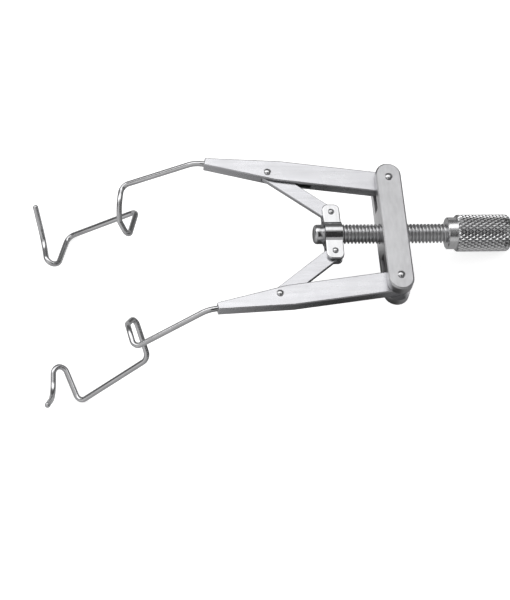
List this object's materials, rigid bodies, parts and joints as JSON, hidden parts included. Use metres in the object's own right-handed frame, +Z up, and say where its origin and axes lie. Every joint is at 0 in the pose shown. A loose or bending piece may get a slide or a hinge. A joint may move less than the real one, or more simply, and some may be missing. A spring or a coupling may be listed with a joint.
{
  "type": "eye speculum",
  "caption": "Eye speculum with bent-wire lid blades on two pivoted arms, spread by a knurled screw through a crossbar.",
  "frame": {"origin": "centre of the bounding box in plan, at the surface that the instrument rests on", "axes": "+X level, towards the knob; +Y towards the upper arm; +Z up. The screw lies in the XZ plane, with its knob end lowered"},
  "size_m": [0.0776, 0.0376, 0.0195],
  "materials": {
    "crossbar_steel": "satin, fine brushed grain",
    "arm_steel": "satin, near matt",
    "link_steel": "satin",
    "yoke_steel": "satin",
    "screw_steel": "polished",
    "knob_steel": "polished, diamond knurl",
    "wire_steel": "polished",
    "pin_steel": "polished"
  },
  "bodies": {
    "crossbar": {"crossbar": "crossbar_steel", "upper_crossbar_pin": "pin_steel", "lower_crossbar_pin": "pin_steel"},
    "yoke": {"yoke": "yoke_steel", "upper_yoke_pin": "pin_steel", "lower_yoke_pin": "pin_steel"},
    "screw": {"screw": "screw_steel", "retaining_button": "screw_steel", "knob": "knob_steel"},
    "upper_arm": {"upper_arm": "arm_steel", "upper_blade": "wire_steel", "upper_link_pin": "pin_steel"},
    "upper_link": {"upper_link": "link_steel"},
    "lower_arm": {"lower_arm": "arm_steel", "lower_blade": "wire_steel", "lower_link_pin": "pin_steel"},
    "lower_link": {"lower_link": "link_steel"}
  },
  "joints": [
    {"name": "yoke_slide", "type": "slide", "parent": "crossbar", "child": "yoke", "axis": [-0.9426, 0, 0.3339], "range_m": [-0.00207, 0.00151]},
    {"name": "knob_turn", "type": "hinge", "parent": "yoke", "child": "screw", "pos_m": [0.01098, 0, 0.01215], "axis": [-0.9426, 0, 0.3339], "range_deg": [-1292.01, 942.09]},
    {"name": "upper_arm_swing", "type": "hinge", "parent": "crossbar", "child": "upper_arm", "pos_m": [0.02007, 0.00898, 0.00893], "axis": [-0.3339, 0, -0.9426], "range_deg": [-9.6, 7]},
    {"name": "upper_link_swing", "type": "hinge", "parent": "upper_arm", "child": "upper_link", "pos_m": [0.002, 0.01107, 0.01533], "axis": [-0.3339, 0, -0.9426], "range_deg": [-9.08, 6.62]},
    {"name": "lower_arm_swing", "type": "hinge", "parent": "crossbar", "child": "lower_arm", "pos_m": [0.02007, -0.00898, 0.00893], "axis": [0.3339, 0, 0.9426], "range_deg": [-9.6, 7]},
    {"name": "lower_link_swing", "type": "hinge", "parent": "lower_arm", "child": "lower_link", "pos_m": [0.002, -0.01107, 0.01533], "axis": [0.3339, 0, 0.9426], "range_deg": [-9.08, 6.62]}
  ],
  "couplings": [
    {"joint": "knob_turn", "follows": "yoke_slide", "rad_per_m": 10889},
    {"joint": "upper_arm_swing", "follows": "yoke_slide", "rad_per_m": 80.952},
    {"joint": "upper_link_swing", "follows": "yoke_slide", "rad_per_m": 76.532},
    {"joint": "lower_arm_swing", "follows": "yoke_slide", "rad_per_m": 80.952},
    {"joint": "lower_link_swing", "follows": "yoke_slide", "rad_per_m": 76.532}
  ]
}
